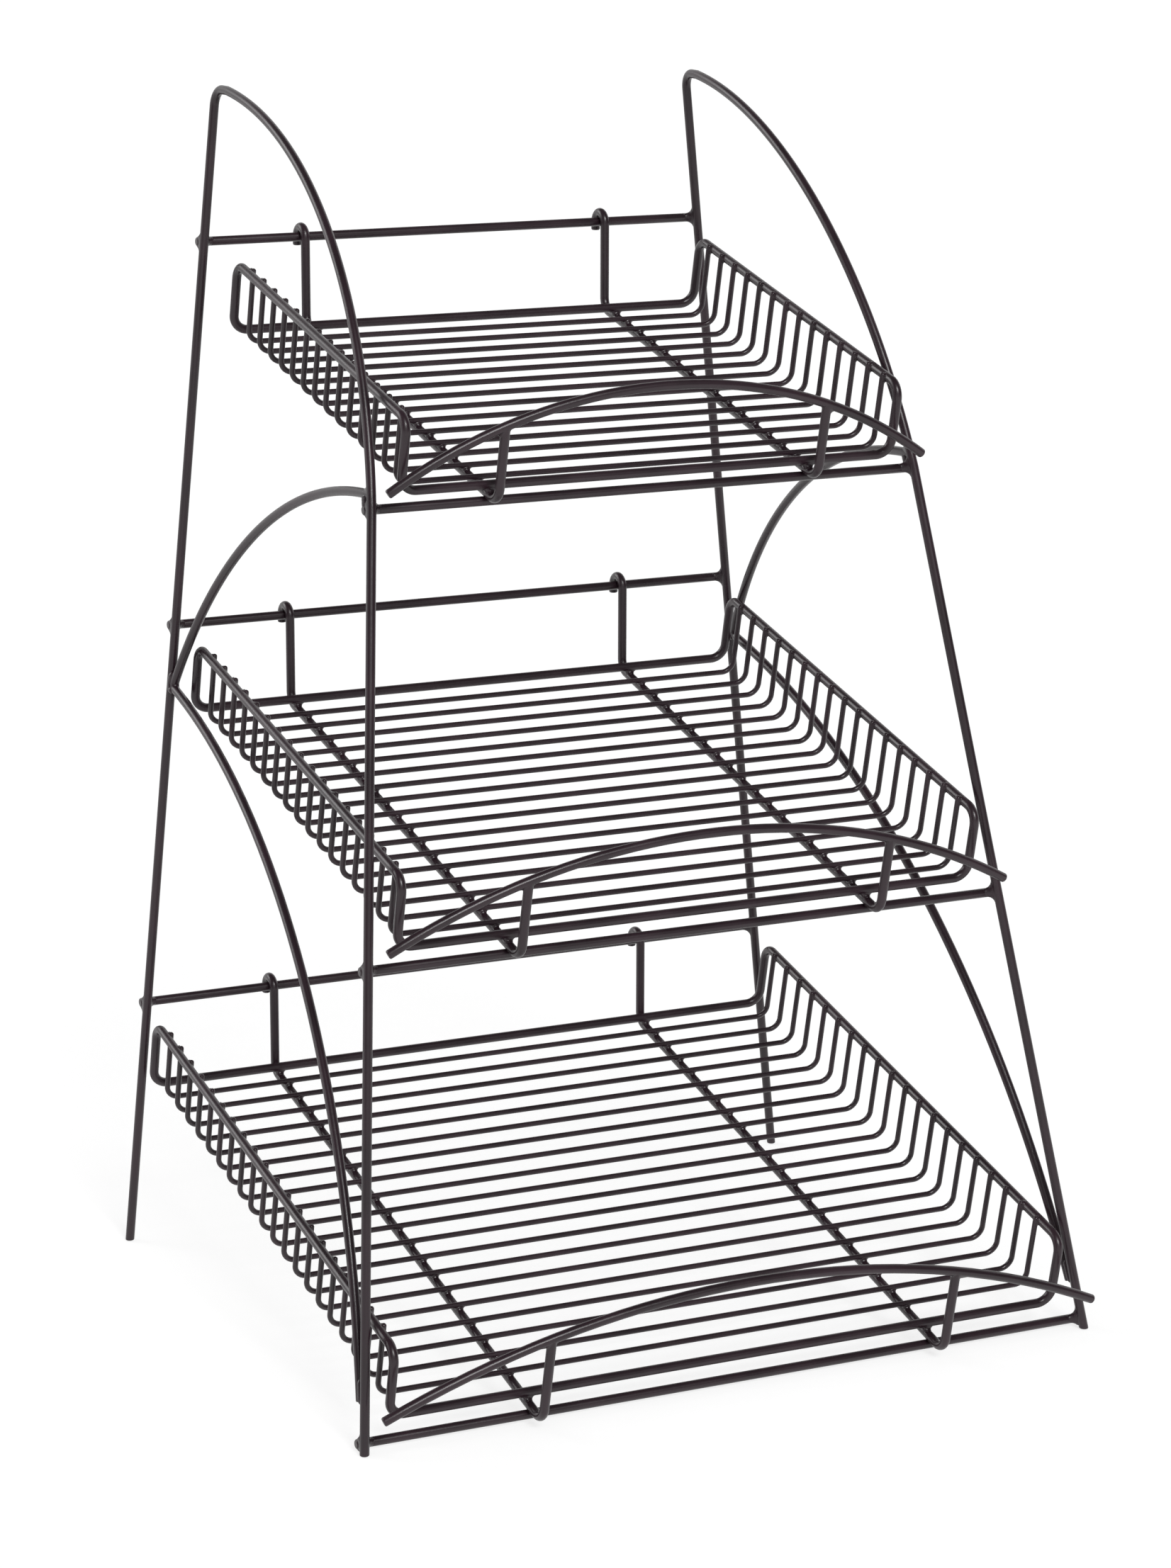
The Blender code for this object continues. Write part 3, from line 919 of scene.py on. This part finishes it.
def make_tray_wires(tray):
    name = f"tray_{tray.name}"
    place = tray_place(tray)
    loop = wire_mesh(loop_path(tray), place, edge=0.0, closed=True)
    hand_over(name + "_loop_coated", loop, name, name + "_basket")
    deck = wire_mesh(deck_wire_path(tray), place, DECK_WIRES, LIGHT, LIGHT_SIDES, DECK_EDGE,
                     Count=deck_wire_count(tray), Pitch=tray.pitch)
    hand_over(name + "_deck_wires_coated", deck, name, name + "_basket", stands_for_node=False)
    hand_over(name + "_bow_coated", wire_mesh(bow_path(tray), place), name, name + "_bow")
    for hand, side in SIDES.items():
        runner = wire_mesh(runner_path(tray, side), place)
        hand_over(f"{name}_runner_{hand}_coated", runner, name, f"{name}_runner_{hand}")


for tray in TRAYS:
    make_tray_wires(tray)

# %% [markdown]
# ## What a weld looks like under the coat
# Where two wires are welded, metal fills the crook between them, and the powder smooths it into a
# hollow fillet. A ball rolled round the joint so that it touches both wires draws exactly that
# surface. So the fillet is worked out, and not sculpted: for each direction round the joint, two
# distances are solved for, until the ball rests on both rods, and the fillet there is the arc
# between the two touching points.

# %% Rolling ball
MOST_TRIES = 40
GOOD_ENOUGH = 0.0005  # how far the ball may miss the rods, as a part of its radius


@dataclass
class Rod:
    """A straight stretch of wire."""

    point: Vector
    along: Vector
    radius: float = HEAVY / 2

    def nearest(self, place):
        return self.point + self.along * (place - self.point).dot(self.along)


def resting_ball(rods, origin, outward, up, ball, start):
    """How far out and up from origin a ball's centre lies when it touches both rods."""
    place = Vector(start)
    for _ in range(MOST_TRIES):
        centre = origin + outward * place.x + up * place.y
        arms = [centre - rod.nearest(centre) for rod in rods]
        miss = Vector([arm.length - rod.radius - ball for arm, rod in zip(arms, rods)])
        if miss.length < ball * GOOD_ENOUGH:
            break
        aims = [arm.normalized() for arm in arms]
        slopes = Matrix([(aim.dot(outward), aim.dot(up)) for aim in aims])
        step = slopes.inverted_safe() @ miss
        place -= step * min(1, ball / step.length)
    return place


print("The ball's place is found by Newton's method")

# %% [markdown]
# ## The fillet as a mesh
# Each direction gives one row of points on the ball, and the rows join into a ring. Its two rims
# lie just under the wires' skins and are closed with fans to a point on each wire's centre line, so
# a fillet is a closed body. Three sines with seeded phases vary the ball, since a weld is never
# even. A stop cuts a fillet off at a plane, for a wire that ends there or for the floor.

# %% Fillet
FILLET_AROUND = 40  # directions round a joint
FILLET_ACROSS = 6  # faces from one wire to the other
UNEVEN = 0.07  # how much the ball varies, as a part of its radius
UNEVEN_WAVES = (2, 3, 5)  # how often each sine goes up and down round the joint
RIM_DEPTH = 0.03  # how far a rim lies under the skin, as a part of the wire's radius
luck = random.Random(23)


def ball_arc(rods, centre, ball, across):
    """Points on the ball from where it touches one rod to where it touches the other."""
    arms = [(rod.nearest(centre) - centre).normalized() for rod in rods]
    turn = arms[0].rotation_difference(arms[1])
    steps = [Quaternion(turn.axis, turn.angle * i / across) for i in range(across + 1)]
    points = [centre + step @ arms[0] * ball for step in steps]
    for end, rod in zip((0, across), rods):
        points[end] += (rod.nearest(points[end]) - points[end]) * RIM_DEPTH
    return points


def held_back(point, origin, stops):
    """The point, or where it lies beyond a stop, its foot on the stop's plane."""
    for direction, room in stops:
        over = (point - origin).dot(direction) - room
        if over > 0:
            point = point - direction * over
    return point


def fillet(shape, rods, origin, up, ball, start, stops=(), around=FILLET_AROUND,
           across=FILLET_ACROSS):
    """Add the fillet round a joint to shape. Each ball starts out and up by start from origin."""
    first = up.orthogonal().normalized()
    second = up.cross(first)
    phases = [luck.uniform(0, 2 * math.pi) for _ in UNEVEN_WAVES]
    rows = []
    for i in range(around):
        angle = 2 * math.pi * i / around
        sines = [math.sin(waves * angle + phase) for waves, phase in zip(UNEVEN_WAVES, phases)]
        size = ball * (1 + UNEVEN * (sum(sines) / len(sines)))
        outward = first * math.cos(angle) + second * math.sin(angle)
        rest = resting_ball(rods, origin, outward, up, size, start)
        centre = origin + outward * rest.x + up * rest.y
        points = ball_arc(rods, centre, size, across)
        rows.append([shape.verts.new(held_back(point, origin, stops)) for point in points])
    for before, here in zip(rows[-1:] + rows, rows):
        for i in range(across):
            shape.faces.new((before[i], before[i + 1], here[i + 1], here[i]))
    for end, rod in zip((0, across), rods):
        rim = [row[end] for row in rows]
        hub = shape.verts.new(rod.nearest(sum((vertex.co for vertex in rim), Vector()) / around))
        for before, here in zip(rim[-1:] + rim, rim):
            shape.faces.new((hub, before, here))


def cross_weld(shape, one, other, ball, **more):
    """The weld of two wires that cross."""
    lines = [end for rod in (one, other) for end in (rod.point, rod.point + rod.along)]
    near, far = intersect_line_line(*lines)
    start = (max(one.radius, other.radius) + ball, 0)
    fillet(shape, (one, other), (near + far) / 2, (near - far).normalized(), ball, start, **more)


def butt_weld(shape, one, other, ball, **more):
    """The weld of a wire, other, that ends on wire one and points away from it."""
    start = (other.radius + ball, one.radius + ball)
    fillet(shape, (one, other), other.point, other.along, ball, start, **more)


def weld_mesh(shape):
    """The welds gathered in shape, as one mesh."""
    bmesh.ops.recalc_face_normals(shape, faces=shape.faces)
    mesh = smooth_into(bpy.data.meshes.new("welds"), shape)
    mesh.materials.append(WELD_COAT)
    return mesh


print("A fillet has", FILLET_AROUND * (FILLET_ACROSS + 2), "faces")

# %% [markdown]
# ## Welds of the rack frame
# Each crossbar is welded behind both legs of its end. These are the big fillets of the rack: the
# crook above and below the bar is filled for about 4 mm. Past the leg the bar ends, and the weld
# just before it. The arch butts onto the side rod at a slant, so its fillet is larger below than
# above.

# %% Frame joints
CROSSBAR_BALL = 0.0042
ARCH_BALL = 0.0045
LEG_PIECE = 0.0100  # the length of leg that gives its direction
BOW_PIECE = 0.0030  # the length of bow above and below the arch's end that gives its direction


def leg_rod(leg, height, side):
    here = mirrored(leg(height), side)
    return Rod(here, (mirrored(leg(height + LEG_PIECE), side) - here).normalized())


def weld_crossbar(shape, place, leg, side):
    bar = Rod(place, ACROSS)
    stops = ((ACROSS * side, HEAVY / 2 + BAR_POKE - EDGE / 3), (-UP, place.z - 2 * FLOOR_DROP))
    cross_weld(shape, leg_rod(leg, place.z, side), bar, CROSSBAR_BALL, stops=stops)


def weld_arch(shape, side):
    *_, before, _, end = brace_rod_path(side)
    heights = (end.z - BOW_PIECE, end.z + BOW_PIECE)
    low, high = (on_side(at_height(top_bow(), height), side) for height in heights)
    side_rod = Rod(end, (high - low).normalized())
    butt_weld(shape, side_rod, Rod(end, (before - end).normalized()), ARCH_BALL)


def frame_fillets():
    shape = bmesh.new()
    for side in SIDES.values():
        for tray in TRAYS:
            for _, bar_place, leg in CROSSBARS:
                weld_crossbar(shape, bar_place(tray), leg, side)
        weld_arch(shape, side)
    mesh = weld_mesh(shape)
    mesh.transform(ON_FLOOR)
    return mesh


hand_over("rack_weld_fillets", frame_fillets(), "rack", "side_rod_left", stands_for_node=False)

# %% [markdown]
# ## Weld beads in the grooves
# Where a brace rod lies along a leg, the two wires leave a groove on each side, and a torch has run
# a short bead down it. A bead is a stack of small frozen pools. Under the coat they show as faint
# ripples, well over a millimetre apart. The wire tree draws it: a short fat wire with tapered ends
# and a ripple. Behind each front leg one more, shorter and fatter, fills the space between the
# arch's end and the crossbar.

# %% Groove beads
BEAD = 0.0032
BEAD_SIDES = 16
BEAD_OUT = 0.0011  # the bead's centre line out of the plane of both wires
BEAD_STEP = 0.00025
BEAD_RIPPLES = {"Ripple": 0.0017, "Ripple Depth": 0.015}  # crest to crest, part of the radius
BEAD_TAPER = 0.0030
FOOT_BEAD = (0.0235, 0.0360)  # from this height to this one, on the front leg
BEND_BEAD = (-0.0048, 0.0064)  # below and above the bend that is welded to the rear leg
BEND_BEAD_FATTER = 1.35
BEND_NEAR = 0.0200  # the brace rod's bend lies within this of its rearmost point
WEB = 0.0060  # the weld between the arch's end and the crossbar just below it
WEB_BACK = 0.0049  # how far it lies behind the front leg
WEB_TAPER = 0.0015


def groove(leg, path, low, high, side, face):
    """The line of a bead between a leg and the rod along path. Face is 1 outside and -1 inside."""
    points = []
    for i in range(round((high - low) / BEAD_STEP) + 1):
        height = low + i * BEAD_STEP
        on_leg = mirrored(leg(height), side)
        on_rod = at_height(path, max(height, path[0].z + SAME_PLACE))
        out = (on_rod - on_leg).cross(UP).normalized() * face
        points.append((on_leg + on_rod) / 2 + out * BEAD_OUT)
    return points


def web(side):
    """The line of the weld from the arch's end down to the crossbar, behind the front leg."""
    bow = top_bow()
    low = bow[0].z + SAME_PLACE
    count = round((TOP_TRAY.bar_height + ARCH_ABOVE_BAR - low) / BEAD_STEP)
    on_bow = [at_height(bow, low + i * BEAD_STEP) for i in range(count)]
    return [on_side(point + side_view(WEB_BACK, 0), side) for point in on_bow]


def frame_beads():
    shape = bmesh.new()
    for side in SIDES.values():
        path = brace_rod_path(side)
        rearmost = max(path, key=lambda point: point.y)
        low_part = path[: path.index(rearmost) + 1]
        bend = [point for point in path if (rearmost - point).length < BEND_NEAR]
        low, high = (rearmost.z + reach for reach in BEND_BEAD)
        lines = [(web(side), WEB, WEB_TAPER)]
        for face in (-1, 1):
            at_foot = groove(front_leg, low_part, *FOOT_BEAD, side, face)
            at_bend = groove(rear_leg, bend, low, high, side, face)
            lines += [(at_foot, BEAD, BEAD_TAPER), (at_bend, BEAD * BEND_BEAD_FATTER, BEAD_TAPER)]
        for line, width, taper in lines:
            bead = wire_mesh(line, ON_FLOOR, COATED_WIRE, width, BEAD_SIDES, taper, **BEAD_RIPPLES)
            shape.from_mesh(bead)
            bpy.data.meshes.remove(bead)
    return weld_mesh(shape)


hand_over("rack_weld_beads", frame_beads(), "rack", "side_rod_left", stands_for_node=False)

# %% [markdown]
# ## Rows of small welds
# A deck wire is welded to both rails and to both runners, all in one stroke of a press. That makes
# four rows of equal small welds up the deck. One is worked out with few faces, and a tree sets it
# on a line of points at the wires' pitch, with a seeded difference in size from one to the next. At
# a rail two stops shape it: the metal ends below the wire's tip and falls away from the rail, so
# the dome stays free.

# %% Tree: weld row
def weld_row_tree():
    tree, given = new_tree("weld_row", (
        ("Weld", "NodeSocketGeometry"),
        ("Count", "NodeSocketInt"),
        ("Pitch", "NodeSocketFloat"),
        ("Seed", "NodeSocketInt"),
        ("Difference", "NodeSocketFloat"),
        ("Coat", "NodeSocketMaterial"),
    ))
    least = add(tree, "ShaderNodeMath", {0: 1.0, 1: given["Difference"]}, operation="SUBTRACT")
    most = add(tree, "ShaderNodeMath", {0: 1.0, 1: given["Difference"]}, operation="ADD")
    sizes = {0: least, 1: most, "Seed": given["Seed"]}
    size = add(tree, "FunctionNodeRandomValue", sizes, data_type="FLOAT_VECTOR")
    row = row_of(tree, given["Weld"], given["Count"], given["Pitch"], size)
    finish_tree(tree, row, given["Coat"])
    return tree


WELD_ROW = weld_row_tree()

# %% Welds of a tray
RUN_BALL = 0.0018
BOW_BALL = 0.0022
DECK_BALL = 0.0012
SMALL_AROUND = 12
SMALL_ACROSS = 3
TIP_SLOPE = math.radians(40)  # the weld at a deck wire's tip falls away from the rail like this
TIP_CLEAR = 0.0006  # and leaves the dome free by this much
WELD_DIFFERENCE = 0.10  # in size, from the middle one
RUNNER_SEEDS = 10  # the runners' rows have seeds from here up
SLOPE_STEP = 0.0010  # the bow's direction is taken over this much to each side


def weld_row(tray, place, one, other, seed, **more):
    """One row of small welds. The two wires are given as they cross at the origin."""
    shape = bmesh.new()
    cross_weld(shape, one, other, DECK_BALL, around=SMALL_AROUND, across=SMALL_ACROSS, **more)
    carrier = bpy.data.objects.new("small_weld", weld_mesh(shape))
    mesh = run_tree(WELD_ROW, carrier, {
        "Count": deck_wire_count(tray), "Pitch": tray.pitch, "Seed": seed,
        "Difference": WELD_DIFFERENCE, "Coat": WELD_COAT})
    mesh.transform(Matrix.Translation(place))
    return mesh


def deck_weld_rows(tray):
    """The rows on the rails and on the runners."""
    rows = []
    for seed, side in enumerate(SIDES.values()):
        into_rail = (HEAVY + LIGHT) / 2 - WELD_SINK
        rail = Rod(ACROSS * side * into_rail / 2, ALONG)
        wire = Rod(ACROSS * side * -into_rail / 2, UP, LIGHT / 2)
        place = Vector((side * (half_width(tray) - into_rail / 2), tray.first_space, WALL_HEIGHT))
        slope = UP * math.cos(TIP_SLOPE) - ACROSS * side * math.sin(TIP_SLOPE)
        below_tip = wire.point + UP * (HEAVY / 2 + DECK_POKE - TIP_CLEAR)
        stops = ((UP, below_tip.z + TIP_CLEAR / 2), (slope, below_tip.dot(slope)))
        rows.append(weld_row(tray, place, rail, wire, seed, stops=stops))
        low = (LIGHT - HEAVY) / 2
        wire = Rod(UP * (low + REACH) / 2, ACROSS, LIGHT / 2)
        runner = Rod(UP * (low + REACH) / -2, ALONG)
        place = Vector((side * runner_x(tray), tray.first_space, (low - REACH) / 2))
        rows.append(weld_row(tray, place, wire, runner, seed + RUNNER_SEEDS))
    return rows


def tray_welds(tray):
    shape = bmesh.new()
    for side in SIDES.values():
        x = side * runner_x(tray)
        runner = Rod(Vector((x, 0, -REACH)), ALONG)
        for run_y in (0, deck_length(tray)):
            cross_weld(shape, Rod(ALONG * run_y, ACROSS), runner, RUN_BALL)
        top = Vector((x, riser_y(tray), bow_height(tray, x)))
        slope = bow_height(tray, x + SLOPE_STEP) - bow_height(tray, x - SLOPE_STEP)
        bow = Rod(top, Vector((2 * SLOPE_STEP, 0, slope)).normalized())
        butt_weld(shape, bow, Rod(top, -UP), BOW_BALL)
    for row in deck_weld_rows(tray):
        shape.from_mesh(row)
        bpy.data.meshes.remove(row)
    mesh = weld_mesh(shape)
    mesh.transform(tray_place(tray))
    return mesh


for tray in TRAYS:
    name = f"tray_{tray.name}"
    hand_over(name + "_welds", tray_welds(tray), name, name + "_basket", stands_for_node=False)
